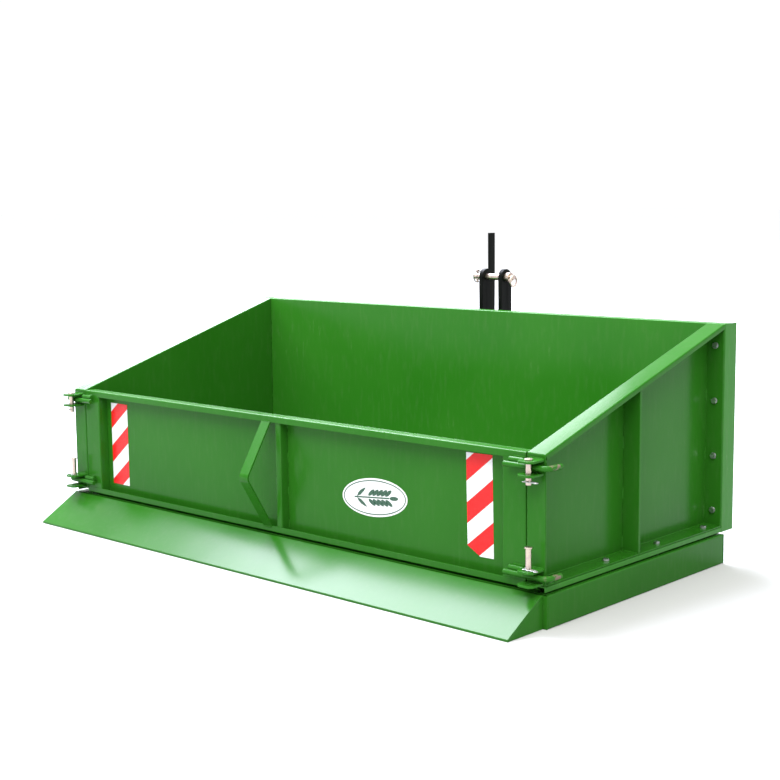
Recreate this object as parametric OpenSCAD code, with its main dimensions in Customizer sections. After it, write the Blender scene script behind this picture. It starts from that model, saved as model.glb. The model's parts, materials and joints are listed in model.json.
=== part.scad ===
// Tipping transport box for a tractor's three-point linkage: a wide, low sheet-steel tub on a
// base frame, with a loading lip, a top-hung tailgate and a pivoting linkage headstock.
// Millimetres. +Z is up, the tailgate faces -Y, the tractor is on the +Y side.
// Left and right are those of a person who looks at the tailgate.

/* [Tub] */
// Overall width across the side wall flanges
body_w = 1600; // [1300:10:2000]
// Depth from the tailgate's front face to the rear wall
body_d = 690; // [560:10:900]
// Height of the side wall at the tailgate
front_h = 355; // [310:5:450]
// Height of the side wall at the rear wall
rear_h = 566; // [480:5:640]
// Thickness of all folded sheet
sheet = 3; // [2:0.5:4]
// Outward width of the side wall flanges
flange_w = 48; // [40:1:60]
// Height of the down-turned edge on the top flange
edge_h = 12; // [8:1:18]
// Thickness of the flat rib in the middle of each side wall
side_rib_t = 8; // [5:1:12]
// Depth of the rear wall's folded side returns
return_w = 53; // [40:1:70]
// Depth of the rear wall's folded top return
top_return_w = 30; // [20:1:40]

/* [Base frame] */
// Height of the base channels
base_h = 70; // [60:1:90]
// Rise of the floor above the base channels
floor_rise = 16; // [14:1:20]
// How far each base channel stands out past the side wall flange
base_out = 8; // [4:1:12]
// How far the base front stands before the tailgate's front face
base_fwd = 5; // [3:1:8]
// Width of the base channel flanges
base_flange_w = 45; // [35:1:60]
// Width of one underfloor beam
beam_w = 60; // [40:1:80]
// Depth of the front channel's top flange
sill_d = 70; // [60:1:100]

/* [Loading lip] */
// Horizontal length of the sloping part
lip_run = 108; // [80:1:140]
// Depth of the level strip behind the slope
lip_land = 7; // [4:1:12]
// Thickness of the lip plate
lip_t = 6; // [4:0.5:8]
// Height of the nose above the ground
lip_nose_h = 5; // [4:0.5:7]
// Inset of the lip from the base's side
lip_inset = 10; // [6:1:16]
// Thickness of the end gussets
gusset_t = 4; // [3:0.5:6]

/* [Tailgate] */
// Clearance between the tailgate and each side wall
gate_side_gap = 2; // [1.5:0.5:4]
// Clearance under the tailgate
gate_foot_gap = 5; // [5:0.5:8]
// Clearance between the tailgate's back and the floor's front edge
gate_floor_gap = 4; // [3:0.5:8]
// Overall depth of the tailgate frame, panel included
gate_t = 30; // [26:1:36]
// Height of the front edge of the tailgate's rails
rail_h = 15; // [12:1:20]
// Width of the end posts
post_w = 60; // [50:1:75]
// Width of the centre rib
gate_rib_w = 18; // [14:1:26]
// Offset of the centre rib from the middle
gate_rib_x = 15; // [10:1:30]
// Width of the bent flat bar handle
handle_w = 30; // [24:1:40]
// Thickness of the handle bar
handle_t = 5; // [4:0.5:8]
// Offset of the handle from the middle
handle_x = -22; // [-40:1:-15]
// Reach of the handle's elbow before the tailgate
handle_reach = 75; // [60:1:100]

/* [Markings] */
// Width of the striped markers
marker_w = 70.5; // [60:0.5:90]
// Height of the striped markers
marker_h = 220; // [150:5:240]
// Gap between the left marker and its post
marker_gap_left = 19; // [10:1:80]
// Gap between the right marker and its post
marker_gap_right = 45; // [20:1:80]
// How much higher the right marker is than the left one
marker_lift = 7; // [0:1:10]
// Turn of the right marker out of the upright
marker_turn = 1; // [0:0.5:2]
// Width of the corner cut off the right marker
marker_cut_w = 34; // [10:1:50]
// Height of the corner cut off the right marker
marker_cut_h = 20; // [10:1:50]
// Long axis of the oval badge
badge_w = 201; // [150:1:240]
// Short axis of the oval badge
badge_h = 88; // [70:1:120]
// Distance of the badge from the middle
badge_x = 305; // [250:1:400]
// Height of the badge below the middle of the tailgate
badge_drop = 18; // [0:1:25]
// Turn of the badge out of the level
badge_turn = 5; // [0:1:8]
// Thickness of the markers and the badge
film_t = 0.5; // [0.4:0.1:1]

/* [Corner latches] */
// Diameter of the trunnion rods
rod_d = 12; // [10:0.5:16]
// Distance of the rod axis before the tailgate's front face
rod_y = 14; // [12:0.5:18]
// Length of the straight rod inside the flange's outer edge
rod_len = 95; // [80:1:120]
// Length of the straight part of the bent rod end
rod_tail = 30; // [20:1:50]
// Centreline radius of the rod's bend
rod_bend_r = 16; // [12:1:24]
// Distance of the bent rod end's axis outside the flange edge
rod_out = 14; // [13:1:20]
// Depth of the upper rod axis below the tailgate's top
upper_rod_drop = 26; // [24:1:30]
// Height of the lower rod axis above the base channels
lower_rod_rise = 36; // [34:1:45]
// Diameter of the latch pins
pin_d = 12; // [10:0.5:14]
// Length of a latch pin below its head
pin_len = 50; // [46:1:60]
// Diameter of the pin head
pin_head_d = 17; // [15:0.5:20]
// Thickness of the pin head
pin_head_t = 3; // [2:0.5:5]
// Radial clearance of a latch pin in its plates
pin_fit = 0.1; // [0.05:0.01:0.1]
// Gap between a latch pin and the rod behind it
pin_rod_gap = 0.4; // [0.3:0.1:0.8]
// Thickness of the bracket plates
plate_t = 5; // [4:0.5:6]
// Clear height between the bracket plates
plate_gap = 23; // [22:0.5:28]
// Depth of the bracket plates
plate_d = 45; // [42:1:55]
// Distance of the bracket plates from the wall's inner face
plate_inset = 5; // [4:1:8]
// Corner cut on the bracket plates
plate_cut = 8; // [4:1:12]
// Wire diameter of the spring clips
clip_wire_d = 2.5; // [2:0.1:3]
// Reach of the spring clips outside the pin's axis
clip_leg = 21; // [16:1:22]
// Height of the clip hole above the pin's lower end
clip_rise = 7; // [6:0.5:9]

/* [Fasteners] */
// Thread diameter of the wall bolts
bolt_d = 8; // [6:1:10]
// Size of the bolt heads across flats
bolt_af = 13; // [10:1:17]
// Height of the bolt heads and nuts
bolt_head_h = 5.3; // [4:0.1:7]
// Radial clearance of a bolt in its hole
bolt_fit = 0.3; // [0.2:0.1:0.5]
// Height of the lowest rear wall bolt
rear_bolt_z = 125; // [115:1:135]
// Pitch of the rear wall bolts
rear_bolt_pitch = 130; // [90:1:130]
// Distance of the first floor bolt from the tailgate's front face
floor_bolt_y = 45; // [40:1:60]
// Pitch of the floor bolts
floor_bolt_pitch = 200; // [120:5:200]

/* [Headstock] */
// Gap between the rear wall's front face and the mast's front edge
mast_gap_y = 130; // [110:1:160]
// Depth of each mast plate
mast_w = 45; // [40:1:60]
// Thickness of each mast plate
mast_t = 12; // [10:1:15]
// Clear width between the mast plates
mast_gap = 55; // [46:1:65]
// Height of the lower link pins
lower_pin_z = 185; // [160:1:220]
// Height of the top link pin above the lower link pins
mast_h = 460; // [440:5:480]
// Diameter of the top link pin
top_pin_d = 19; // [19:0.1:25.4]
// Radial clearance of the top link pin in the mast
top_pin_fit = 0.1; // [0.05:0.01:0.1]
// Diameter of the lower link pins
low_pin_d = 22; // [22:0.1:28]
// Free length of the lower link pins
low_pin_len = 75; // [65:1:90]
// Distance of the cross bar behind the mast's middle
bar_back = 20; // [15:1:22]
// Diameter of the linchpin holes in the lower link pins
linch_d = 11; // [10:0.5:12]
// Distance of a linchpin hole from the pin's end
linch_inset = 15; // [12:1:20]
// Distance between the lower link pins' shoulders
hitch_span = 683; // [650:1:700]
// Diameter of the cross bar that the tub tips on
bar_d = 60; // [50:1:70]
// Wall of the cross bar
bar_wall = 6; // [4:0.5:8]
// Radial clearance of the cross bar in the tub's lugs
bar_fit = 0.1; // [0.05:0.01:0.1]
// Distance of each lug from the middle
lug_x = 260; // [220:5:290]
// Thickness of each lug
lug_t = 15; // [10:1:20]
// Side clearance between a lug and the collar beside it
collar_gap = 0.5; // [0.3:0.1:1]
// Width of the collars on the cross bar
collar_w = 10; // [6:1:14]
// Metal around the cross bar in a lug
lug_rim = 16; // [12:1:24]
// Height of the mast's side gussets above the cross bar
brace_h = 100; // [60:5:120]
// Width of the mast's side gussets
brace_w = 180; // [120:5:190]
// Thickness of the mast's side gussets
brace_t = 10; // [8:1:14]

/* [Tipping latch] */
// Height of the lever's bolt above the lower link pins
lever_rise = 173; // [160:1:200]
// Length of the lever above its bolt
lever_len = 407; // [330:1:430]
// Depth of the lever bar
lever_w = 22; // [18:1:26]
// Thickness of the lever plate
lever_t = 8; // [6:1:10]
// Offset of the lever bar behind the mast's middle
lever_back = 27; // [24:1:32]
// Diameter of the lever's bolt
lever_bolt_d = 16; // [12:1:18]
// Radial clearance of the lever on its bolt
lever_fit = 0.1; // [0.05:0.01:0.1]
// Side clearance between the lever and the mast
lever_gap = 0.5; // [0.3:0.1:0.8]
// Height of the hook arm
hook_h = 20; // [16:1:24]
// Thickness of the hook's nose
hook_nose = 12; // [10:1:14]
// Angle between the lifted and the latched hook
latch_drop = 3; // [2.5:0.1:3.2]
// Diameter of the striker bar
striker_d = 12; // [10:1:14]
// Distance of the striker bar behind the rear wall
striker_y = 27; // [24:1:30]
// Running gap between the latched hook and the striker
hook_gap = 0.5; // [0.3:0.1:0.8]
// How far the latched nose reaches below the striker's top
hook_bite = 5; // [4:0.5:6]
// Thickness of the rubber stop pads
pad_t = 8; // [5:1:12]

/* [Hidden] */
$fn = 48;

GREEN = [0.16, 0.48, 0.20];
BLACK = [0.10, 0.11, 0.12];
ZINC = [0.80, 0.76, 0.66];
LEFT = -1;
RIGHT = 1;

// tub
half_w = body_w / 2;
wall_x = half_w - flange_w;
floor_z = base_h + floor_rise;
slope = (rear_h - front_h) / body_d;
base_x = half_w + base_out;
beam_x = base_x - base_flange_w;
flange_mid_x = (wall_x + sheet + half_w) / 2;
function top_z(y) = front_h + slope * y;

// tailgate
gate_x = wall_x - gate_side_gap;
gate_z = base_h + gate_foot_gap;
panel_y = gate_t - sheet;
floor_y = gate_t + gate_floor_gap;
post_x = gate_x - post_w;
upper_rod_z = front_h - upper_rod_drop;
lower_rod_z = base_h + lower_rod_rise;
marker_z = (gate_z + front_h) / 2;

// corner latches
pin_y = rod_y + rod_d / 2 + pin_rod_gap + pin_d / 2;
plate_w = half_w - sheet - plate_inset - wall_x;
plate_x = wall_x + plate_inset;
pin_x = plate_x + plate_w / 2;
pin_top = plate_gap / 2 + plate_t;
spacer_rise = sqrt(pow(rod_d, 2) - pow(rod_y - rod_d / 2, 2));
clip_hole_d = clip_wire_d + 0.5;
clip_pitch = pin_d / 2 + clip_wire_d;
park_lift = pin_len - clip_rise + clip_wire_d / 2 + 0.2;

// loading lip
lip_x = base_x - lip_inset;
lip_back = base_fwd + lip_land;
lip_front = lip_back + lip_run;
lip_fall = base_h - lip_nose_h;
lip_drop = lip_t / cos(atan(lip_fall / lip_run));

// headstock
mast_y = body_d + mast_gap_y + mast_w / 2;
mast_x = mast_gap / 2;
mast_out = mast_x + mast_t;
bar_y = mast_y + bar_back;
top_pin_z = lower_pin_z + mast_h;
shoulder_t = 12;
bar_half = hitch_span / 2 - shoulder_t;
wall_back = body_d + sheet;

// tipping latch
lever_x = mast_out + lever_gap;
lever_z = lower_pin_z + lever_rise;
lever_y = mast_y + lever_back;
bar_top = lever_z - hook_h / 2 - hook_gap;
strike_y = wall_back + striker_y;
strike_z = bar_top - striker_d / 2;

// arms that the mast leans on
stop_h = 60;
stop_z = rear_h - 90;

// return spring, wound around the lever's bolt
seat_gap = 0.3;
spring_wire = 3;
spring_turns = 4;
spring_pitch = spring_wire + 0.5;
spring_r = lever_bolt_d / 2 + spring_wire / 2 + seat_gap + 1;
spring_len = spring_turns * spring_pitch + spring_wire;
spring_x = lever_x + lever_t + seat_gap;
weld_gap = 0.1;

// the origin is at the middle of the footprint of everything drawn
back_y = bar_y + bar_d / 2 + max(lug_rim, mast_t);
y_shift = (lip_front - max(back_y, lever_y + lever_w)) / 2;

module place() {
    translate([0, y_shift, 0]) children();
}

module on_side(side) {
    mirror([side < 0 ? 1 : 0, 0, 0]) children();
}

// a plate drawn in the Y-Z plane, from x0 with thickness t
module yz_plate(x0, t) {
    translate([x0, 0, 0]) rotate([90, 0, 90]) linear_extrude(t) children();
}

// a plate drawn in the X-Z plane, from y0 with thickness t
module xz_plate(y0, t) {
    translate([0, y0 + t, 0]) rotate([90, 0, 0]) linear_extrude(t) children();
}

module x_rod(x0, y, z, d, len) {
    translate([x0, y, z]) rotate([0, 90, 0]) cylinder(d = d, h = len);
}

module y_rod(x, y0, z, d, len) {
    translate([x, y0, z]) rotate([-90, 0, 0]) cylinder(d = d, h = len);
}

module hex(af, h) {
    cylinder(d = af / cos(30), h = h, $fn = 6);
}

// ---------------------------------------------------------------- tub

module floor_bolt_places() {
    for (i = [0 : 3], side = [LEFT, RIGHT])
        translate([side * flange_mid_x, floor_bolt_y + i * floor_bolt_pitch, floor_z])
            children();
}

module rear_bolt_places() {
    for (i = [0 : 3], side = [LEFT, RIGHT])
        translate([side * flange_mid_x, body_d, rear_bolt_z + i * rear_bolt_pitch])
            rotate([90, 0, 0]) children();
}

module bolt_hole() {
    translate([0, 0, -4 * sheet]) cylinder(d = bolt_d + 2 * bolt_fit, h = 8 * sheet);
}

module floor_pan() {
    color(GREEN) place() difference() {
        union() {
            translate([0, 0, floor_z - sheet]) linear_extrude(sheet) polygon([
                [-half_w, 0], [-wall_x, 0], [-wall_x, floor_y], [wall_x, floor_y],
                [wall_x, 0], [half_w, 0], [half_w, body_d], [-half_w, body_d]
            ]);
            for (side = [LEFT, RIGHT]) on_side(side)
                translate([half_w - sheet, 0, floor_z - edge_h])
                    cube([sheet, body_d, edge_h]);
            translate([-wall_x, floor_y, base_h])
                cube([2 * wall_x, sheet, floor_rise]);
        }
        floor_bolt_places() bolt_hole();
    }
}

module base_side(side) {
    color(GREEN) place() on_side(side) {
        len = body_d + base_fwd - 2 * sheet;
        translate([base_x - sheet, sheet - base_fwd, 0]) cube([sheet, len, base_h]);
        translate([beam_x, sheet - base_fwd, 0]) cube([base_flange_w, len, sheet]);
        translate([beam_x, sheet - base_fwd, base_h - sheet])
            cube([base_flange_w, len, sheet]);
    }
}

module base_front() {
    color(GREEN) place() {
        translate([-base_x, -base_fwd, 0]) cube([2 * base_x, sheet, base_h]);
        translate([-beam_x, -base_fwd, base_h - sheet])
            cube([2 * beam_x, base_fwd + sill_d, sheet]);
        translate([-beam_x, -base_fwd, 0])
            cube([2 * beam_x, base_fwd + sill_d / 2, sheet]);
    }
}

module base_rear() {
    color(GREEN) place() {
        translate([-base_x, body_d - sheet, 0]) cube([2 * base_x, sheet, base_h]);
        translate([-beam_x, body_d - sheet, 0])
            cube([2 * beam_x, sheet, floor_z - sheet]);
        for (z = [0, floor_z - 2 * sheet])
            translate([-beam_x, body_d - base_flange_w, z])
                cube([2 * beam_x, base_flange_w, sheet]);
    }
}

module floor_beams() {
    color(GREEN) place() for (i = [1, 2])
        translate([0, sill_d + i * (body_d - sill_d - base_flange_w) / 3, 0])
            yz_plate(-beam_x, 2 * beam_x) difference() {
                translate([-beam_w / 2, 0]) square([beam_w, floor_z - sheet]);
                translate([-beam_w / 2 + sheet, -1])
                    square([beam_w - 2 * sheet, floor_z - 2 * sheet + 1]);
            }
}

function lip_z(y) = lip_nose_h + (lip_front + y) * lip_fall / lip_run;

module loading_lip() {
    foot_y = -lip_front + (lip_drop - lip_nose_h) * lip_run / lip_fall;
    color(GREEN) place() yz_plate(-lip_x, 2 * lip_x) polygon([
        [-base_fwd, base_h], [-lip_back, base_h], [-lip_front, lip_nose_h],
        [-lip_front, 0], [foot_y, 0], [-lip_back, base_h - lip_drop],
        [-base_fwd, base_h - lip_drop]
    ]);
}

module lip_gusset(side) {
    foot_y = -lip_front + (lip_drop - lip_nose_h) * lip_run / lip_fall;
    color(GREEN) place() on_side(side) yz_plate(lip_x - gusset_t, gusset_t) polygon([
        [-base_fwd, 0], [foot_y, 0], [-lip_back, base_h - lip_drop],
        [-base_fwd, base_h - lip_drop]
    ]);
}

module side_wall(side) {
    color(GREEN) place() on_side(side) difference() {
        union() {
            yz_plate(wall_x, sheet) polygon([
                [0, floor_z], [body_d, floor_z], [body_d, rear_h], [0, front_h]
            ]);
            yz_plate(wall_x, flange_w) polygon([
                [0, front_h - sheet], [body_d, rear_h - sheet],
                [body_d, rear_h], [0, front_h]
            ]);
            yz_plate(half_w - sheet, sheet) polygon([
                [0, front_h - edge_h], [body_d, rear_h - edge_h],
                [body_d, rear_h], [0, front_h]
            ]);
            translate([wall_x, 0, floor_z])
                cube([flange_w, sheet, front_h - floor_z - sheet / 2]);
            translate([wall_x, body_d - sheet, floor_z])
                cube([flange_w, sheet, rear_h - floor_z - sheet]);
            translate([wall_x, 0, floor_z]) cube([flange_w, body_d, sheet]);
        }
        floor_bolt_places() bolt_hole();
        rear_bolt_places() bolt_hole();
    }
}

module side_rib(side) {
    y0 = (body_d - side_rib_t) / 2;
    y1 = y0 + side_rib_t;
    color(GREEN) place() on_side(side)
        yz_plate(wall_x + sheet, flange_w - 2 * sheet) polygon([
            [y0, floor_z + sheet], [y1, floor_z + sheet],
            [y1, top_z(y1) - sheet], [y0, top_z(y0) - sheet]
        ]);
}

module rear_wall() {
    foot = base_h + sheet;
    high = rear_h - foot;
    color(GREEN) place() difference() {
        union() {
            translate([-half_w, body_d, foot]) cube([2 * half_w, sheet, high]);
            translate([-half_w, body_d, rear_h - sheet])
                cube([2 * half_w, top_return_w, sheet]);
            for (x = [-half_w, half_w - sheet])
                translate([x, body_d, foot]) cube([sheet, return_w, high]);
        }
        rear_bolt_places() bolt_hole();
    }
}

// upright stiffening channel on the back of the rear wall
module rear_channel(side) {
    mid_x = (lug_x + wall_x) / 2;
    z0 = base_h + sheet;
    color(GREEN) place() on_side(side)
        translate([mid_x, wall_back, z0]) linear_extrude(rear_h - sheet - z0) difference() {
            translate([-beam_w / 2, 0]) square([beam_w, top_return_w - sheet]);
            translate([-beam_w / 2 + sheet, -1])
                square([beam_w - 2 * sheet, top_return_w - 2 * sheet + 1]);
        }
}

module pivot_lug(side) {
    pad_w = 6 * lug_t;
    back_t = 8;
    foot = base_h + sheet;
    rim = bar_d / 2 + lug_rim;
    color(GREEN) place() on_side(side) {
        translate([lug_x - pad_w / 2, wall_back, foot])
            cube([pad_w, back_t, lower_pin_z + rim - foot + lug_t]);
        yz_plate(lug_x - lug_t / 2, lug_t) difference() {
            union() {
                polygon([
                    [wall_back + back_t, foot], [bar_y, lower_pin_z - rim],
                    [bar_y, lower_pin_z + rim], [wall_back + back_t, lower_pin_z + rim]
                ]);
                translate([bar_y, lower_pin_z]) circle(r = rim);
            }
            translate([bar_y, lower_pin_z]) circle(d = bar_d + 2 * bar_fit);
        }
    }
}

// bar that the tipping latch hooks over, between two ears on the rear wall
module latch_striker() {
    ear_t = 6;
    ear_h = 3 * striker_d;
    side_play = 8;
    gap = lever_t + 2 * side_play;
    mid_x = -(lever_x + lever_t / 2);
    color(GREEN) place() {
        x_rod(mid_x - gap / 2 - ear_t, strike_y, strike_z, striker_d, gap + 2 * ear_t);
        for (x = [mid_x - gap / 2 - ear_t, mid_x + gap / 2])
            translate([x, wall_back, strike_z - 2 * striker_d])
                cube([ear_t, striker_y + striker_d, ear_h]);
    }
}

// two arms on the rear wall that the mast leans on
module mast_stop() {
    reach = mast_gap_y - sheet - pad_t;
    color(GREEN) place() for (side = [LEFT, RIGHT]) on_side(side)
        translate([mast_x, wall_back, stop_z]) cube([mast_t, reach, stop_h]);
}

module stop_pads() {
    y0 = body_d + mast_gap_y - pad_t;
    color("dimgray") place() for (side = [LEFT, RIGHT]) on_side(side)
        translate([mast_x, y0, stop_z]) cube([mast_t, pad_t - seat_gap, stop_h]);
}

module wall_bolts() {
    color(ZINC) place() {
        floor_bolt_places() {
            translate([0, 0, sheet]) hex(bolt_af, bolt_head_h);
            translate([0, 0, 2 * sheet - floor_rise]) cylinder(d = bolt_d, h = floor_rise - sheet);
        }
        rear_bolt_places() {
            translate([0, 0, sheet]) hex(bolt_af, bolt_head_h);
            translate([0, 0, 2 * sheet - floor_rise]) cylinder(d = bolt_d, h = floor_rise - sheet);
        }
    }
}

module nut() {
    difference() {
        hex(bolt_af, bolt_head_h);
        translate([0, 0, -1]) cylinder(d = bolt_d + weld_gap, h = bolt_head_h + 2);
    }
}

module wall_nuts() {
    color(ZINC) place() {
        floor_bolt_places() translate([0, 0, -sheet - bolt_head_h]) nut();
        rear_bolt_places() translate([0, 0, -sheet - bolt_head_h]) nut();
    }
}

// ---------------------------------------------------------------- corner latches

// two plates on the corner flange, with the hole for the latch pin
module bracket(side, rod_z) {
    color(GREEN) place() on_side(side)
        for (z = [-plate_gap / 2 - plate_t, plate_gap / 2])
            translate([0, 0, rod_z + z]) linear_extrude(plate_t) difference() {
                polygon([
                    [plate_x, 0], [plate_x, plate_cut - plate_d],
                    [plate_x + plate_cut, -plate_d],
                    [plate_x + plate_w - plate_cut, -plate_d],
                    [plate_x + plate_w, plate_cut - plate_d], [plate_x + plate_w, 0]
                ]);
                translate([pin_x, -pin_y]) circle(d = pin_d + 2 * pin_fit);
            }
}

// latch pin with its head resting on the upper plate, or lifted
module latch_pin(side, rod_z, lift) {
    color(ZINC) place() on_side(side)
        translate([pin_x, -pin_y, rod_z + pin_top + lift]) difference() {
            union() {
                cylinder(d = pin_head_d, h = pin_head_t);
                translate([0, 0, -pin_len]) cylinder(d = pin_d, h = pin_len);
            }
            translate([-pin_d, 0, clip_rise - pin_len]) rotate([0, 90, 0])
                cylinder(d = clip_hole_d, h = 2 * pin_d);
        }
}

// spring clip: one leg through the pin, one leg before it, and a round bend
module pin_clip(side, rod_z, lift) {
    inner_end = -0.9 * pin_d;
    place() on_side(side)
        translate([pin_x, -pin_y, rod_z + pin_top + lift + clip_rise - pin_len]) {
            for (y = [0, -clip_pitch])
                translate([inner_end, y, 0]) rotate([0, 90, 0])
                    cylinder(d = clip_wire_d, h = clip_leg - inner_end);
            translate([clip_leg, -clip_pitch / 2, 0]) rotate([0, 0, -90])
                rotate_extrude(angle = 180) translate([clip_pitch / 2, 0])
                    circle(d = clip_wire_d);
        }
}

module hinge_pin_clips() {
    color("silver") for (side = [LEFT, RIGHT]) pin_clip(side, upper_rod_z, 0);
}

// ---------------------------------------------------------------- tailgate

module gate_panel() {
    color(GREEN) place()
        translate([-gate_x, panel_y, gate_z]) cube([2 * gate_x, sheet, front_h - gate_z]);
}

// rail of angle section: a level leg to the panel and a front edge
module gate_rail(z0, edge_z0) {
    color(GREEN) place() {
        translate([-gate_x, 0, z0]) cube([2 * gate_x, panel_y, sheet]);
        translate([-gate_x, 0, edge_z0]) cube([2 * gate_x, sheet, rail_h]);
    }
}

module gate_post(side) {
    inner_h = front_h - gate_z - 2 * sheet;
    color(GREEN) place() on_side(side) {
        translate([post_x, 0, gate_z + rail_h])
            cube([post_w, sheet, front_h - gate_z - 2 * rail_h]);
        for (x = [post_x, gate_x - sheet])
            translate([x, sheet, gate_z + sheet]) cube([sheet, panel_y - sheet, inner_h]);
    }
}

module gate_rib() {
    inner_h = front_h - gate_z - 2 * sheet;
    color(GREEN) place() translate([gate_rib_x - gate_rib_w / 2, sheet, gate_z + sheet])
        linear_extrude(inner_h) difference() {
            square([gate_rib_w, panel_y - sheet]);
            translate([sheet, sheet]) square([gate_rib_w - 2 * sheet, panel_y]);
        }
}

module flat_bar(p, q, t) {
    d = q - p;
    translate(p) rotate(atan2(d[1], d[0])) translate([0, -t / 2]) square([norm(d), t]);
}

module gate_handle() {
    high = front_h - rail_h / 2;
    low = gate_z + rail_h / 2;
    elbow = [-handle_reach + handle_t / 2, (high + low) / 2];
    color(GREEN) place() yz_plate(handle_x - handle_w / 2, handle_w) intersection() {
        union() {
            flat_bar(elbow, [handle_t, high], handle_t);
            flat_bar(elbow, [handle_t, low], handle_t);
            translate(elbow) circle(d = handle_t);
        }
        translate([-2 * handle_reach, 0]) square([2 * handle_reach, front_h]);
    }
}

// round rod whose outer end is bent back, and the short rod that spaces it from the post
module trunnion(side, rod_z) {
    bend_x = half_w + rod_out - rod_bend_r;
    inner_x = half_w - rod_len;
    spacer_x = inner_x + rod_d * 0.7;
    color(GREEN) place() on_side(side) {
        x_rod(inner_x, -rod_y, rod_z, rod_d, bend_x - inner_x);
        translate([bend_x, rod_bend_r - rod_y, rod_z]) rotate([0, 0, -90])
            rotate_extrude(angle = 90) translate([rod_bend_r, 0]) circle(d = rod_d);
        y_rod(half_w + rod_out, rod_bend_r - rod_y, rod_z, rod_d, rod_tail);
        x_rod(spacer_x, -rod_d / 2, rod_z + spacer_rise, rod_d, gate_x - spacer_x);
    }
}

// striped marker beside an end post, with its lower inner corner cut by cut_w and cut_h
module marker(side, gap, lift, turn, cut_w, cut_h) {
    x1 = marker_w / 2;
    z1 = marker_h / 2;
    color("white") place() xz_plate(panel_y - film_t, film_t)
        translate([side * (post_x - gap - x1), marker_z + lift]) rotate(turn)
            polygon([[cut_w - x1, -z1], [x1, -z1], [x1, z1], [-x1, z1], [-x1, cut_h - z1]]);
}

module gate_badge() {
    color("white") place() xz_plate(panel_y - film_t, film_t)
        translate([badge_x, marker_z - badge_drop]) rotate(badge_turn)
            polygon([for (a = [0 : 6 : 354]) [badge_w / 2 * cos(a), badge_h / 2 * sin(a)]]);
}

// ---------------------------------------------------------------- headstock

module cross_bar() {
    color(BLACK) place() {
        x_rod_tube(-bar_half, bar_y, lower_pin_z, bar_d, bar_d - 2 * bar_wall, 2 * bar_half);
        for (side = [LEFT, RIGHT]) on_side(side)
            x_rod_tube(lug_x + lug_t / 2 + collar_gap, bar_y, lower_pin_z, bar_d + lug_rim,
                       bar_d - 2 * bar_wall, collar_w);
    }
}

module x_rod_tube(x0, y, z, d, bore, len) {
    difference() {
        x_rod(x0, y, z, d, len);
        x_rod(x0 - 1, y, z, bore, len + 2);
    }
}

module lower_link_pin(side) {
    color(ZINC) place() on_side(side) difference() {
        union() {
            x_rod(bar_half, bar_y, lower_pin_z, bar_d, shoulder_t);
            x_rod(bar_half, bar_y, lower_pin_z, low_pin_d, shoulder_t + low_pin_len);
        }
        translate([hitch_span / 2 + low_pin_len - linch_inset, bar_y, 0])
            cylinder(d = linch_d, h = 2 * lower_pin_z);
    }
}

module mast_plate(side) {
    color(BLACK) place() on_side(side) yz_plate(mast_x, mast_t) difference() {
        union() {
            translate([mast_y - mast_w / 2, lower_pin_z]) square([mast_w, mast_h]);
            translate([mast_y, top_pin_z]) circle(d = mast_w);
            translate([bar_y, lower_pin_z]) circle(d = bar_d + 2 * mast_t);
        }
        translate([mast_y, top_pin_z]) circle(d = top_pin_d + 2 * top_pin_fit);
        translate([bar_y, lower_pin_z]) circle(d = bar_d + weld_gap);
        if (side == LEFT)
            translate([mast_y, lever_z]) circle(d = lever_bolt_d + weld_gap);
    }
}

// triangular gusset with its two points cut off
module mast_brace(side) {
    z0 = lower_pin_z + bar_d / 2;
    rear = mast_y + mast_w / 2;
    tip = 12;
    color(BLACK) place() on_side(side) xz_plate(rear - brace_t, brace_t) polygon([
        [mast_out, z0], [mast_out + brace_w, z0], [mast_out + brace_w, z0 + tip],
        [mast_out + tip, z0 + brace_h], [mast_out, z0 + brace_h]
    ]);
}

// round pin with a head and pull ring at one end, and a linchpin through the other end
module top_link_pin() {
    head_d = 27;
    head_t = 14;
    stub_len = 12;
    ring_r = 14;
    ring_wire = 5;
    tail = 34;
    linch_pin_d = 6.5;
    linch_pin_len = 32;
    linch_head_d = 11;
    linch_head_t = 4;
    linch_x = 10 - mast_out - tail;
    hole_d = linch_pin_d + 0.5;
    color(ZINC) place() {
        difference() {
            x_rod(-mast_out - tail, mast_y, top_pin_z, top_pin_d, 2 * mast_out + tail + 1);
            translate([linch_x, mast_y, top_pin_z - top_pin_d])
                cylinder(d = hole_d, h = 2 * top_pin_d);
        }
        x_rod(mast_out + seat_gap, mast_y, top_pin_z, head_d, head_t);
        x_rod(mast_out + head_t, mast_y, top_pin_z, head_d / 2, stub_len);
        translate([mast_out + head_t + stub_len - ring_wire / 2, mast_y,
                   top_pin_z - ring_r + linch_head_t])
            rotate([0, 90, 0]) rotate_extrude() translate([ring_r, 0]) circle(d = ring_wire);
        translate([linch_x, mast_y, top_pin_z]) {
            translate([0, 0, -linch_pin_len / 2]) cylinder(d = linch_pin_d, h = linch_pin_len);
            translate([0, 0, linch_pin_len / 2 - linch_head_t / 2])
                cylinder(d = linch_head_d, h = linch_head_t);
        }
    }
}

// ---------------------------------------------------------------- tipping latch

// hook outline in its latched position, about the lever's bolt
module hook_outline() {
    bar = [strike_y - mast_y, strike_z - lever_z];
    nose_y = bar[0] - striker_d / 2 - hook_gap;
    nose_z = bar[1] + striker_d / 2 - hook_bite;
    polygon([
        [0, hook_h / 2], [nose_y - hook_nose, hook_h / 2],
        [nose_y - hook_nose, nose_z + hook_nose / 2], [nose_y - hook_nose / 3, nose_z],
        [nose_y, nose_z], [nose_y, -hook_h / 2], [0, -hook_h / 2]
    ]);
}

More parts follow.
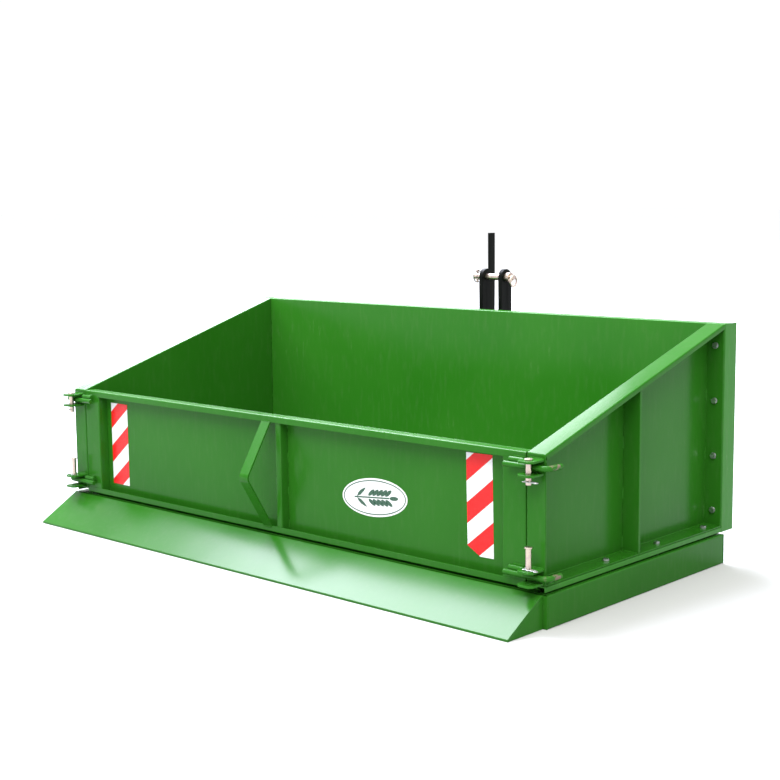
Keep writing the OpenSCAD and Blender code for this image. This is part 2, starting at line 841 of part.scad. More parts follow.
// flat lever: boss on the bolt, hook to the front, cranked grip to the rear and up
module release_lever() {
    boss = lever_bolt_d + 20;
    knee = 62;
    waist = 4;
    flare = 16;
    color(BLACK) place() yz_plate(-lever_x - lever_t, lever_t) difference() {
        union() {
            translate([lever_y, lever_z + knee]) square([lever_w, lever_len - knee]);
            translate([mast_y, lever_z]) {
                circle(d = boss);
                rotate(-latch_drop) hook_outline();
                polygon([
                    [-boss / 2, waist], [boss / 2, -waist],
                    [lever_back + lever_w, knee - flare], [lever_back + lever_w, knee + 1],
                    [lever_back, knee + 1]
                ]);
            }
        }
        translate([mast_y, lever_z]) circle(d = lever_bolt_d + 2 * lever_fit);
    }
}

// bolt with its head and washer outside the spring, and its nut between the mast plates
module lever_bolt() {
    head_h = 10;
    nut_h = 11;
    washer_t = 2;
    out = spring_x + spring_len + seat_gap + washer_t;
    color(ZINC) place() {
        x_rod(-out, mast_y, lever_z, lever_bolt_d, out - mast_x + nut_h + 1);
        x_rod(-out, mast_y, lever_z, lever_bolt_d * 1.9, washer_t);
        for (x = [-out - head_h, -mast_x])
            translate([x, mast_y, lever_z]) rotate([0, 90, 0])
                hex(lever_bolt_d * 1.5, x < -mast_x ? head_h : nut_h);
    }
}

// one ring of n points around the spring's wire, at turn angle a
function spring_ring(a, n) = [for (k = [0 : n - 1])
    let (w = k * 360 / n, r = spring_r + spring_wire / 2 * cos(w))
    [a / 360 * spring_pitch + spring_wire / 2 * sin(w), r * cos(a), r * sin(a)]];

// round wire wound as a helix about the X axis
module latch_spring() {
    n = 8;
    rings_per_turn = 18;
    steps = spring_turns * rings_per_turn;
    pts = [for (i = [0 : steps]) each spring_ring(i * 360 / rings_per_turn, n)];
    sides = [for (i = [0 : steps - 1], k = [0 : n - 1])
        [n * i + k, n * i + (k + 1) % n, n * i + n + (k + 1) % n, n * i + n + k]];
    first = [for (k = [n - 1 : -1 : 0]) k];
    last = [for (k = [0 : n - 1]) n * steps + k];
    color("silver") place() translate([spring_wire / 2 - spring_x - spring_len, mast_y, lever_z])
        polyhedron(points = pts, faces = concat([first], sides, [last]));
}

// ---------------------------------------------------------------- nodes

floor_pan();
base_side(LEFT);  // base_side_left
base_side(RIGHT);  // base_side_right
base_front();
base_rear();
floor_beams();
loading_lip();
lip_gusset(LEFT);  // lip_gusset_left
lip_gusset(RIGHT);  // lip_gusset_right
side_wall(LEFT);  // side_wall_left
side_wall(RIGHT);  // side_wall_right
side_rib(LEFT);  // side_rib_left
side_rib(RIGHT);  // side_rib_right
rear_wall();
rear_channel(LEFT);  // rear_channel_left
rear_channel(RIGHT);  // rear_channel_right
pivot_lug(LEFT);  // pivot_lug_left
pivot_lug(RIGHT);  // pivot_lug_right
latch_striker();
mast_stop();
stop_pads();
wall_bolts();
wall_nuts();
bracket(LEFT, upper_rod_z);  // bracket_upper_left
bracket(RIGHT, upper_rod_z);  // bracket_upper_right
bracket(LEFT, lower_rod_z);  // bracket_lower_left
bracket(RIGHT, lower_rod_z);  // bracket_lower_right
latch_pin(LEFT, upper_rod_z, 0);  // hinge_pin_left
latch_pin(RIGHT, upper_rod_z, 0);  // hinge_pin_right
hinge_pin_clips();
gate_panel();
gate_rail(front_h - sheet, front_h - rail_h);  // gate_top_rail
gate_rail(gate_z, gate_z);  // gate_bottom_rail
gate_post(LEFT);  // gate_post_left
gate_post(RIGHT);  // gate_post_right
gate_rib();
gate_handle();
trunnion(LEFT, upper_rod_z);  // trunnion_upper_left
trunnion(RIGHT, upper_rod_z);  // trunnion_upper_right
trunnion(LEFT, lower_rod_z);  // trunnion_lower_left
trunnion(RIGHT, lower_rod_z);  // trunnion_lower_right
marker(LEFT, marker_gap_left, 0, 0, 0, 0);  // marker_left
marker(RIGHT, marker_gap_right, marker_lift, marker_turn, marker_cut_w, marker_cut_h);  // marker_right
gate_badge();
latch_pin(LEFT, lower_rod_z, park_lift);  // lock_pin_left
pin_clip(LEFT, lower_rod_z, park_lift);  // lock_clip_left
latch_pin(RIGHT, lower_rod_z, park_lift);  // lock_pin_right
pin_clip(RIGHT, lower_rod_z, park_lift);  // lock_clip_right
cross_bar();
lower_link_pin(LEFT);  // lower_link_pin_left
lower_link_pin(RIGHT);  // lower_link_pin_right
mast_plate(LEFT);  // mast_left
mast_plate(RIGHT);  // mast_right
mast_brace(LEFT);  // mast_brace_left
mast_brace(RIGHT);  // mast_brace_right
top_link_pin();
release_lever();
lever_bolt();
latch_spring();
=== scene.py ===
import json
import math

import bmesh
import bpy
from mathutils import Matrix, Vector

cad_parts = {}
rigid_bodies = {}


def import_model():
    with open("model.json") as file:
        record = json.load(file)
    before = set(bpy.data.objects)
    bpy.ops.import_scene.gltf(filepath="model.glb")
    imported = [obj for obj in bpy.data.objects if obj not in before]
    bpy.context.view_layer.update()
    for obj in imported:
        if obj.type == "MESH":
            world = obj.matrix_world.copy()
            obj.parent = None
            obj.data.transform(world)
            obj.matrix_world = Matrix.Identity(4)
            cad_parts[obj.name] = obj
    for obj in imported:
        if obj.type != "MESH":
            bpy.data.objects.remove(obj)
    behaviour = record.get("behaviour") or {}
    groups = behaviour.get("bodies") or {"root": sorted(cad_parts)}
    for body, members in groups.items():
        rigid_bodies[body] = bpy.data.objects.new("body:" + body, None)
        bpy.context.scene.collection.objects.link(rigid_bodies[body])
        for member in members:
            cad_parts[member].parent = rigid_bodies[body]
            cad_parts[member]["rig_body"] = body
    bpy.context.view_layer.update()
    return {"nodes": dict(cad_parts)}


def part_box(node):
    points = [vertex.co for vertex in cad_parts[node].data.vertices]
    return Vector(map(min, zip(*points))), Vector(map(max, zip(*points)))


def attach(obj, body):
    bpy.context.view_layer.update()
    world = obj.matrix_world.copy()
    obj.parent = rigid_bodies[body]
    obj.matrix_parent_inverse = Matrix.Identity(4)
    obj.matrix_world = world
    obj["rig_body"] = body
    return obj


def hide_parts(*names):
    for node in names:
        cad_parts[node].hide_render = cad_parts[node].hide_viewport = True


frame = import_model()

# Looks of a tipping transport box for a tractor's linkage: folded green sheet steel with
# welds, a tailgate on latch pins, and a black headstock. Lengths are in metres.

MM = 0.001
LEFT, RIGHT = -1, 1
SIDES = {"left": LEFT, "right": RIGHT}

# ---------------------------------------------------------------- sizes read from the frame

wall_lo, wall_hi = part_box("side_wall_right")
panel_lo, panel_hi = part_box("gate_panel")
top_rail_lo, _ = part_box("gate_top_rail")
front_y = wall_lo.y
rear_y = wall_hi.y
half_w = wall_hi.x
wall_x = wall_lo.x
floor_z = wall_lo.z
sheet = panel_hi.y - panel_lo.y
slope = (wall_hi.z - panel_hi.z) / (rear_y - front_y)

# radii of folds, of sheared sheet edges, of plate edges and of the films' edges
FOLD_R = 3.0 * MM
CUT_R = 0.5 * MM
PLATE_R = 0.9 * MM
FILM_R = 0.2 * MM

# an edge is sharp from this angle on; faces closer than these count as one plane or one point
SHARP = math.radians(35)
SAME_PLANE = math.radians(0.3)
SAME_NORMAL = 0.99999
SAME_POINT = 1e-5
# a many-sided face that fills less than this share of its rectangle is a frame or an angle
FRAME_SHARE = 0.6
# a face is broad, so that its edges are folds, when it is wider than this
BROAD = 2.2 * sheet


# ---------------------------------------------------------------- node helpers


def new_material(name):
    """A material with one bare shader; returns it with its node tree and that shader."""
    mat = bpy.data.materials.new(name)
    mat.use_nodes = True
    tree = mat.node_tree
    tree.nodes.clear()
    shader = tree.nodes.new("ShaderNodeBsdfPrincipled")
    out = tree.nodes.new("ShaderNodeOutputMaterial")
    tree.links.new(shader.outputs[0], out.inputs[0])
    return mat, tree, shader


def add(tree, kind, links=None, **settings):
    """A node of a kind, with its settings, and links = {input: socket or value}."""
    node = tree.nodes.new(kind)
    for key, value in settings.items():
        setattr(node, key, value)
    for key, value in (links or {}).items():
        if isinstance(value, bpy.types.NodeSocket):
            tree.links.new(value, node.inputs[key])
        else:
            node.inputs[key].default_value = value
    return node


def math_node(tree, operation, *values):
    """The result of one arithmetic step on sockets or numbers."""
    return add(tree, "ShaderNodeMath", dict(enumerate(values)), operation=operation).outputs[0]


def coords(tree, scale=(1, 1, 1), turn=(0, 0, 0)):
    """The piece's own coordinates in metres, stretched and turned."""
    place = add(tree, "ShaderNodeTexCoord").outputs["Object"]
    links = {"Vector": place, "Scale": scale, "Rotation": turn}
    return add(tree, "ShaderNodeMapping", links).outputs[0]


def noise(tree, vector, scale, detail=3.0, rough=0.5):
    """Soft noise between 0 and 1."""
    links = {"Vector": vector, "Scale": scale, "Detail": detail, "Roughness": rough}
    return add(tree, "ShaderNodeTexNoise", links).outputs["Fac"]


def spread(tree, value, low, high, to_low=0.0, to_high=1.0):
    """A value between low and high, spread over another range and held inside it."""
    links = {"Value": value, "From Min": low, "From Max": high,
             "To Min": to_low, "To Max": to_high}
    return add(tree, "ShaderNodeMapRange", links, clamp=True).outputs[0]


def blend_colour(tree, factor, first, second):
    """From one colour to another as the factor goes from 0 to 1."""
    mix_factor, mix_first, mix_second, mix_colour = 0, 6, 7, 2
    links = {mix_factor: factor}
    for key, colour in ((mix_first, first), (mix_second, second)):
        links[key] = colour if isinstance(colour, bpy.types.NodeSocket) else (*colour, 1)
    return add(tree, "ShaderNodeMix", links, data_type="RGBA").outputs[mix_colour]


def bump(tree, height, distance, strength=1.0, under=None):
    """A fine surface relief of a given depth, on top of another one if there is one."""
    links = {"Height": height, "Distance": distance, "Strength": strength}
    if under is not None:
        links["Normal"] = under
    return add(tree, "ShaderNodeBump", links).outputs[0]


# ---------------------------------------------------------------- finishes

DUST_TINT = (0.30, 0.28, 0.23)
WORN_STEEL = (0.15, 0.115, 0.085)
RUB_EDGE = 12 * MM


def enamel(name, colour, faded, rough, dust, ior, rubbed=None):
    """Sprayed enamel on steel: a slow drift of colour, orange peel, hairline scratches, dust,
    and paint rubbed off in patches where the distance from the middle is over `rubbed`."""
    mat, tree, shader = new_material(name)
    place = coords(tree)
    drift = noise(tree, place, 3.0, 4.0)
    tone = blend_colour(tree, spread(tree, drift, 0.35, 0.7), colour, faded)
    streaks = noise(tree, coords(tree, (14, 14, 3)), 6.0, 5.0, 0.6)
    scratches = noise(tree, coords(tree, (240, 30, 12), (0.3, 0.5, 0.9)), 1.0, 2.0)
    scratch = spread(tree, scratches, 0.72, 0.78, 0.0, 0.18)
    pale = tuple(min(1.0, c * 1.5 + 0.02) for c in faded)
    tone = blend_colour(tree, scratch, tone, pale)
    grime = math_node(tree, "MULTIPLY", spread(tree, streaks, 0.5, 0.8), dust)
    tone = blend_colour(tree, grime, tone, DUST_TINT)
    if rubbed:
        axes = add(tree, "ShaderNodeSeparateXYZ", {0: place}).outputs
        outer = spread(tree, math_node(tree, "ABSOLUTE", axes["X"]), rubbed, rubbed + RUB_EDGE)
        patches = spread(tree, noise(tree, place, 85.0, 4.0, 0.6), 0.52, 0.60)
        tone = blend_colour(tree, math_node(tree, "MULTIPLY", outer, patches), tone, WORN_STEEL)
    tree.links.new(tone, shader.inputs["Base Color"])
    matt = math_node(tree, "ADD", spread(tree, drift, 0.3, 0.7, rough, rough + 0.06),
                     math_node(tree, "MULTIPLY", grime, 1.2))
    tree.links.new(matt, shader.inputs["Roughness"])
    waves = bump(tree, noise(tree, place, 5.0, 1.0), 0.0012, 0.5)
    peel = bump(tree, noise(tree, place, 420.0, 2.0), 0.00006, 0.35, waves)
    tree.links.new(peel, shader.inputs["Normal"])
    shader.inputs["IOR"].default_value = ior
    return mat


def plated(name, first, second, rough):
    """Zinc plated steel: cloudy tint, fine drawing marks and a soft grain."""
    mat, tree, shader = new_material(name)
    place = coords(tree)
    cloud = noise(tree, place, 90.0, 3.0)
    tree.links.new(blend_colour(tree, spread(tree, cloud, 0.38, 0.62), first, second),
                   shader.inputs["Base Color"])
    marks = noise(tree, coords(tree, (60, 60, 900)), 1.0, 3.0)
    tree.links.new(spread(tree, marks, 0.3, 0.7, rough - 0.06, rough + 0.1),
                   shader.inputs["Roughness"])
    tree.links.new(bump(tree, marks, 0.00004, 0.4), shader.inputs["Normal"])
    shader.inputs["Metallic"].default_value = 1.0
    return mat


def stop_rubber(name):
    """Black rubber with a coarse grain, greyer where it is worn."""
    mat, tree, shader = new_material(name)
    place = coords(tree)
    grain = noise(tree, place, 700.0, 3.0)
    worn = spread(tree, noise(tree, place, 60.0), 0.4, 0.7)
    tree.links.new(blend_colour(tree, worn, (0.012, 0.012, 0.012), (0.035, 0.034, 0.032)),
                   shader.inputs["Base Color"])
    tree.links.new(spread(tree, grain, 0.3, 0.7, 0.6, 0.85), shader.inputs["Roughness"])
    tree.links.new(bump(tree, grain, 0.0002, 0.5), shader.inputs["Normal"])
    return mat


def retroreflective(tree, shader):
    """Fine sealed cells under a clear face; returns how much of its colour each spot keeps."""
    cells = add(tree, "ShaderNodeTexVoronoi", {"Vector": coords(tree), "Scale": 450.0},
                feature="DISTANCE_TO_EDGE").outputs["Distance"]
    tree.links.new(bump(tree, spread(tree, cells, 0.0, 0.12), 0.00008, 0.4),
                   shader.inputs["Normal"])
    tree.links.new(spread(tree, cells, 0.0, 0.1, 0.34, 0.22), shader.inputs["Roughness"])
    shader.inputs["IOR"].default_value = 1.3
    return spread(tree, cells, 0.0, 0.09, 0.94, 1.0)


FILM_RED, FILM_WHITE, FILM_GREY = (0.60, 0.006, 0.005), (0.66, 0.67, 0.67), (0.24, 0.24, 0.24)
BAR_PITCH, BAR_RISE = 92 * MM, 0.82


def striped_film(name, corner, first):
    """Red and white bars that climb to the right, the first red one starting below a corner."""
    mat, tree, shader = new_material(name)
    place = add(tree, "ShaderNodeTexCoord").outputs["Object"]
    axes = add(tree, "ShaderNodeSeparateXYZ", {0: place}).outputs
    along = math_node(tree, "SUBTRACT", axes["X"], corner.x)
    down = math_node(tree, "SUBTRACT", corner.z, axes["Z"])
    slant = math_node(tree, "MULTIPLY_ADD", along, BAR_RISE, down)
    bars = math_node(tree, "DIVIDE", math_node(tree, "SUBTRACT", slant, first), BAR_PITCH)
    turn = math_node(tree, "FRACT", math_node(tree, "ADD", bars, 0.25))
    bar = spread(tree, math_node(tree, "ABSOLUTE", math_node(tree, "SUBTRACT", turn, 0.5)),
                 0.247, 0.253)
    shade = retroreflective(tree, shader)
    tone = blend_colour(tree, bar, FILM_RED, FILM_WHITE)
    tone = blend_colour(tree, shade, FILM_GREY, tone)
    tree.links.new(tone, shader.inputs["Base Color"])
    return mat


def plain_film(name, colour):
    """Printed film of one colour, a little cloudy."""
    mat, tree, shader = new_material(name)
    place = coords(tree)
    soft = spread(tree, noise(tree, place, 35.0), 0.3, 0.7)
    dim = tuple(0.93 * c for c in colour)
    tree.links.new(blend_colour(tree, soft, colour, dim), shader.inputs["Base Color"])
    tree.links.new(spread(tree, noise(tree, place, 160.0), 0.3, 0.7, 0.24, 0.36),
                   shader.inputs["Roughness"])
    tree.links.new(bump(tree, noise(tree, place, 300.0), 0.00003, 0.3), shader.inputs["Normal"])
    return mat


FRESH, FADED = (0.0135, 0.099, 0.0055), (0.0185, 0.114, 0.0085)
# lighter greens for the rear wall and the floor inside the tub: painted light that brightens
# their shade; that enamel also has a little more dust
PAINTED_LIGHT_FRESH, PAINTED_LIGHT_FADED = (0.0185, 0.132, 0.008), (0.026, 0.152, 0.012)
GREEN = enamel("green_enamel", FRESH, FADED, 0.17, 0.03, 1.18)
PAINTED_LIGHT_DUSTY_GREEN = enamel("painted_light_dusty_green_enamel", PAINTED_LIGHT_FRESH, PAINTED_LIGHT_FADED, 0.20, 0.05, 1.21)
SHINY_GREEN = enamel("shiny_green_enamel", FRESH, FADED, 0.17, 0.03, 1.27)
RUBBED_GREEN = enamel("rubbed_green_enamel", FRESH, FADED, 0.20, 0.05, 1.20, half_w + 6 * MM)
BLACK = enamel("black_enamel", (0.0024, 0.003, 0.0026), (0.004, 0.005, 0.004), 0.40, 0.01, 1.14)
YELLOW_ZINC = plated("yellow_zinc", (0.52, 0.45, 0.35), (0.47, 0.37, 0.34), 0.30)
BRIGHT_ZINC = plated("bright_zinc", (0.54, 0.55, 0.56), (0.42, 0.43, 0.43), 0.30)
RUBBER = stop_rubber("stop_rubber")
WHITE_FILM = plain_film("white_film", FILM_WHITE)
EMBLEM_GREEN = plain_film("emblem_green", (0.006, 0.060, 0.026))

# ---------------------------------------------------------------- making pieces


def new_object(name, mesh, *materials):
    """An object in the scene with a mesh and, if given, its materials."""
    obj = bpy.data.objects.new(name, mesh)
    bpy.context.scene.collection.objects.link(obj)
    if materials:
        mesh.materials.clear()
        for mat in materials:
            mesh.materials.append(mat)
    return obj


def baked(obj):
    """The object with its modifiers turned into plain mesh."""
    view = bpy.context.evaluated_depsgraph_get()
    mesh = bpy.data.meshes.new_from_object(obj.evaluated_get(view))
    obj.modifiers.clear()
    obj.data = mesh
    return obj


def share_filled(face):
    """How much of the rectangle around a face is filled by it: little for a frame or an angle."""
    spans = sorted(max(v.co[i] for v in face.verts) - min(v.co[i] for v in face.verts)
                   for i in range(3))
    return face.calc_area() / (spans[1] * spans[2])


def flat_region(face, seen):
    """The faces that lie in one plane with this one and join it without a fold."""
    region, queue = [], [face]
    seen.add(face)
    while queue:
        here = queue.pop()
        region.append(here)
        for edge in here.edges:
            for other in edge.link_faces:
                if other not in seen and other.normal.dot(here.normal) > SAME_NORMAL:
                    seen.add(other)
                    queue.append(other)
    return region


def region_widths(bm):
    """The width of the flat region that each face is part of: its area over its longest side."""
    seen, widths = set(), {}
    for face in bm.faces:
        if face in seen:
            continue
        region = flat_region(face, seen)
        points = [vert.co for part in region for vert in part.verts]
        spans = [max(p[i] for p in points) - min(p[i] for p in points) for i in range(3)]
        width = sum(part.calc_area() for part in region) / max(spans)
        widths.update({part: width for part in region})
    return widths


def soften(obj, fold_r, cut_r):
    """Rounds the folds between two broad faces by fold_r, and every other edge by cut_r."""
    bm = bmesh.new()
    bm.from_mesh(obj.data)
    bmesh.ops.remove_doubles(bm, verts=bm.verts, dist=SAME_POINT)
    bmesh.ops.dissolve_limit(bm, angle_limit=SAME_PLANE, verts=bm.verts, edges=bm.edges)
    frames = [face for face in bm.faces
              if len(face.verts) > 4 and share_filled(face) < FRAME_SHARE]
    bmesh.ops.triangulate(bm, faces=frames)
    weights = bm.edges.layers.float.new("bevel_weight_edge")
    widths = region_widths(bm)
    for edge in bm.edges:
        if len(edge.link_faces) != 2 or edge.calc_face_angle(0.0) < SHARP:
            continue
        broad = min(widths[face] for face in edge.link_faces) > BROAD
        radius = (fold_r if edge.is_convex else fold_r / 2) if broad else cut_r
        edge[weights] = radius / fold_r
    bm.to_mesh(obj.data)
    bm.free()
    round_off = obj.modifiers.new("edges", "BEVEL")
    round_off.limit_method = "WEIGHT"
    round_off.width = fold_r
    round_off.segments = 3
    round_off.use_clamp_overlap = False
    round_off.miter_outer = "MITER_ARC"
    return smooth(baked(obj))


def smooth(obj):
    """Smooth faces, with hard edges kept and flat faces shaded flat."""
    mesh = obj.data
    bm = bmesh.new()
    bm.from_mesh(mesh)
    for face in bm.faces:
        face.smooth = True
    for edge in bm.edges:
        edge.smooth = edge.calc_face_angle(0.0) < SHARP
    bm.to_mesh(mesh)
    bm.free()
    even = obj.modifiers.new("even", "WEIGHTED_NORMAL")
    even.keep_sharp = True
    return obj


def finished(node, mat, fold_r=FOLD_R, cut_r=CUT_R):
    """A copy of a CAD node with its edges rounded, in that node's place and on its body."""
    source = frame["nodes"][node]
    obj = new_object(node + "_piece", source.data.copy(), mat)
    soften(obj, fold_r, cut_r)
    obj.data.materials.clear()
    obj.data.materials.append(mat)
    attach(obj, source["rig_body"])
    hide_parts(node)
    return obj


def both(name):
    """The names of a pair of CAD nodes."""
    return [f"{name}_left", f"{name}_right"]


# ---------------------------------------------------------------- folded sheet and plates

GREEN_SHEET = ["floor_pan", "base_front", "base_rear", "floor_beams", "rear_wall",
               "gate_panel", "gate_top_rail", "gate_bottom_rail", "gate_rib"]
for stem in ("base_side", "side_wall", "rear_channel", "gate_post"):
    GREEN_SHEET += both(stem)
GREEN_PLATE = ["loading_lip", "latch_striker", "mast_stop"]
for stem in ("lip_gusset", "side_rib", "pivot_lug", "bracket_upper", "bracket_lower",
             "trunnion_upper", "trunnion_lower"):
    GREEN_PLATE += both(stem)
BLACK_PLATE = ["cross_bar", "release_lever", *both("mast"), *both("mast_brace")]
PLATED = {"lever_bolt": BRIGHT_ZINC, "top_link_pin": YELLOW_ZINC}
for stem in ("hinge_pin", "lock_pin", "lower_link_pin"):
    PLATED.update({node: YELLOW_ZINC for node in both(stem)})

# the rear wall and the floor take the lighter green enamel, which is painted light for the shaded
# inside of the tub
PAINTS = {"rear_wall": PAINTED_LIGHT_DUSTY_GREEN, "floor_pan": PAINTED_LIGHT_DUSTY_GREEN, "loading_lip": SHINY_GREEN}
for stem in ("trunnion_upper", "trunnion_lower"):
    PAINTS.update({node: RUBBED_GREEN for node in both(stem)})

for node in GREEN_SHEET:
    finished(node, PAINTS.get(node, GREEN))
for node in GREEN_PLATE:
    finished(node, PAINTS.get(node, GREEN), fold_r=PLATE_R, cut_r=PLATE_R)
for node in BLACK_PLATE:
    finished(node, BLACK, fold_r=PLATE_R, cut_r=PLATE_R)
for node, mat in PLATED.items():
    finished(node, mat, fold_r=CUT_R, cut_r=CUT_R)
finished("stop_pads", RUBBER, fold_r=PLATE_R, cut_r=PLATE_R)

# ---------------------------------------------------------------- shaped pieces


def islands(node):
    """The boxes of the separate solids of a CAD node, from left to right and front to rear."""
    bm = bmesh.new()
    bm.from_mesh(frame["nodes"][node].data)
    bmesh.ops.remove_doubles(bm, verts=bm.verts, dist=SAME_POINT)
    seen, boxes = set(), []
    for vert in bm.verts:
        if vert in seen:
            continue
        seen.add(vert)
        queue, points = [vert], []
        while queue:
            here = queue.pop()
            points.append(here.co)
            for edge in here.link_edges:
                other = edge.other_vert(here)
                if other not in seen:
                    seen.add(other)
                    queue.append(other)
        boxes.append((Vector([min(p[i] for p in points) for i in range(3)]),
                      Vector([max(p[i] for p in points) for i in range(3)])))
    bm.free()
    return sorted(boxes, key=lambda box: (box[0].x > 0, round(box[0].y, 3), round(box[0].z, 3)))


def joined(name, objects, mat):
    """One object with the meshes of several, which are removed."""
    bm = bmesh.new()
    for obj in objects:
        bm.from_mesh(obj.data)
        bpy.data.objects.remove(obj)
    mesh = bpy.data.meshes.new(name)
    bmesh.ops.recalc_face_normals(bm, faces=bm.faces)
    bm.to_mesh(mesh)
    bm.free()
    return new_object(name, mesh, mat)


def placed(obj, nodes, body):
    """Puts a piece on its body, in the place of CAD nodes."""
    smooth(obj)
    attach(obj, body)
    if nodes:
        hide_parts(*nodes)
    return obj


def wire(name, points, radius, closed=False):
    """Round wire through a row of points."""
    curve = bpy.data.curves.new(name, "CURVE")
    curve.dimensions = "3D"
    curve.bevel_depth = radius
    curve.bevel_resolution = 4
    curve.use_fill_caps = True
    curve.resolution_u = 8
    spline = curve.splines.new("BEZIER")
    spline.bezier_points.add(len(points) - 1)
    spline.use_cyclic_u = closed
    for knot, point in zip(spline.bezier_points, points):
        knot.co = point
        knot.handle_left_type = knot.handle_right_type = "AUTO"
    rod = new_object(name, curve)
    mesh = bpy.data.meshes.new_from_object(
        rod.evaluated_get(bpy.context.evaluated_depsgraph_get()))
    bpy.data.objects.remove(rod)
    return new_object(name, mesh)


# the clip's bowed leg: (share of the leg's length, share of the bend that it stands inwards)
BOWED_LEG = [(1, 0), (0.82, 0.35), (0.60, 0.1), (0.38, 0), (0.16, 0.35), (0.02, 0)]


def hairpin(name, box, side):
    """Spring clip: a straight leg through the pin, a round bend, and a bowed leg outside it."""
    lo, hi = box
    r = (hi.z - lo.z) / 2
    z = (hi.z + lo.z) / 2
    inner, outer = (lo.x + r, hi.x - r) if side > 0 else (hi.x - r, lo.x + r)
    through, front = hi.y - r, lo.y + r
    bend = abs(through - front) / 2
    leg = outer - side * bend

    def at(share, y):
        return (inner + (leg - inner) * share, y, z)

    straight = [at(share, through) for share in (0, 0.5, 1)]
    bowed = [at(share, front + inwards * bend) for share, inwards in BOWED_LEG]
    return wire(name, [*straight, (outer, (through + front) / 2, z), *bowed], r)


def swept_bar(name, path, width, thick, edge):
    """Flat bar along a path in the Y-Z plane, with slightly rounded long edges."""
    bm = bmesh.new()
    w, t = width / 2, thick / 2
    ring = [(w - edge, -t), (w, edge - t), (w, t - edge), (w - edge, t),
            (edge - w, t), (-w, t - edge), (-w, edge - t), (edge - w, -t)]
    rows = []
    for i, point in enumerate(path):
        before, after = path[max(i - 1, 0)], path[min(i + 1, len(path) - 1)]
        along = (after - before).normalized()
        across = Vector((0, along.z, -along.y))
        rows.append([bm.verts.new(point + Vector((x, 0, 0)) + across * n) for x, n in ring])
    for low, high in zip(rows, rows[1:]):
        for k in range(len(ring)):
            j = (k + 1) % len(ring)
            bm.faces.new((low[k], low[j], high[j], high[k]))
    bm.faces.new(rows[0])
    bm.faces.new(reversed(rows[-1]))
    bmesh.ops.recalc_face_normals(bm, faces=bm.faces)
    mesh = bpy.data.meshes.new(name)
    bm.to_mesh(mesh)
    bm.free()
    return new_object(name, mesh)


HANDLE_T, HANDLE_BEND_R, HANDLE_EDGE_R, HANDLE_STEPS = 5 * MM, 17 * MM, 0.8 * MM, 12


def bent_handle():
    """Flat bar bent to a rounded V, welded between the two rails of the tailgate."""
    lo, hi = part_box("gate_handle")
    thick, bend_r = HANDLE_T, HANDLE_BEND_R
    plate_y = top_rail_lo.y + sheet / 2
    x, mid = (lo.x + hi.x) / 2, (lo.z + hi.z) / 2
    drop = (hi.z - lo.z) / 2 - thick / 2
    # each arm's angle to the Y axis, settled by a few rounds since the bend's crown is cut short
    half = math.atan2(drop, plate_y - lo.y)
    for _ in range(6):
        crown = bend_r / math.sin(half) - bend_r
        half = math.atan2(drop, plate_y - lo.y - thick / 2 + crown)
    centre_y = lo.y + thick / 2 + bend_r
    path = [Vector((x, plate_y, hi.z - thick / 2))]
    for i in range(HANDLE_STEPS + 1):
        a = math.pi / 2 + half + i / HANDLE_STEPS * (math.pi - 2 * half)
        path.append(Vector((x, centre_y + bend_r * math.cos(a), mid + bend_r * math.sin(a))))
    path.append(Vector((x, plate_y, lo.z + thick / 2)))
    return swept_bar("bent_handle", path, hi.x - lo.x, thick, HANDLE_EDGE_R)


SPRING_WIRE_R, SPRING_TURNS, TURN_STEPS = 1.5 * MM, 4, 16
TAIL_END, TAIL_START = 14 * MM, 6 * MM


def coil_spring():
    """Round wire wound about the lever's bolt, with a straight end on each side."""
    lo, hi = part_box("latch_spring")
    r, turns, steps = SPRING_WIRE_R, SPRING_TURNS, TURN_STEPS
    y, z = (lo.y + hi.y) / 2, (lo.z + hi.z) / 2
    wide = (hi.z - lo.z) / 2 - r
    first, last = lo.x + r, hi.x - r
    points = [(first, y + wide, z - TAIL_END), (first, y + wide, z - TAIL_START)]
    for i in range(turns * steps + 1):
        a = 2 * math.pi * i / steps
        x = first + (last - first) * i / (turns * steps)
        points.append((x, y + wide * math.cos(a), z + wide * math.sin(a)))
    points += [(last, y + wide, z + TAIL_START), (last, y + wide, z + TAIL_END)]
    return wire("spring", points, r)


RING_R, RING_WIRE_R, RING_KNOTS = 16.5 * MM, 1.5 * MM, 12
RING_IN, RING_DOWN = 10 * MM, 18 * MM


def linchpin_ring():
    """Spring ring that goes from the linchpin's head around the top link pin's end."""
    lo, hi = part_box("top_link_pin")
    x, y, z = lo.x + RING_IN, (lo.y + hi.y) / 2, hi.z - RING_DOWN
    angles = (2 * math.pi * i / RING_KNOTS for i in range(RING_KNOTS))
    points = [(x, y + RING_R * math.sin(a), z + RING_R * math.cos(a)) for a in angles]
    return wire("ring", points, RING_WIRE_R, closed=True)


placed(joined("bent_handle_piece", [bent_handle()], GREEN), ["gate_handle"], "tailgate")
for side, turn in SIDES.items():
    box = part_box(f"lock_clip_{side}")
    body = frame["nodes"][f"lock_clip_{side}"]["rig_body"]
    placed(joined(f"lock_clip_{side}_wire", [hairpin("clip", box, turn)], BRIGHT_ZINC),
           [f"lock_clip_{side}"], body)
clips = [hairpin("clip", box, LEFT if box[0].x < 0 else RIGHT)
         for box in islands("hinge_pin_clips")]
placed(joined("hinge_clips_wire", clips, BRIGHT_ZINC), ["hinge_pin_clips"], "tub")
placed(joined("latch_spring_wire", [coil_spring()], BRIGHT_ZINC), ["latch_spring"], "headstock")
placed(joined("linchpin_ring_wire", [linchpin_ring()], BRIGHT_ZINC), [], "headstock")

# ---------------------------------------------------------------- markers and badge

# how far below each film's upper left corner its first red bar starts
FIRST_BAR = {"left": 24 * MM, "right": 18 * MM}

for side, first in FIRST_BAR.items():
    lo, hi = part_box(f"marker_{side}")
    film = striped_film(f"striped_film_{side}", Vector((lo.x, lo.y, hi.z)), first)
    finished(f"marker_{side}", film, fold_r=FILM_R, cut_r=FILM_R)
finished("gate_badge", WHITE_FILM, fold_r=FILM_R, cut_r=FILM_R)


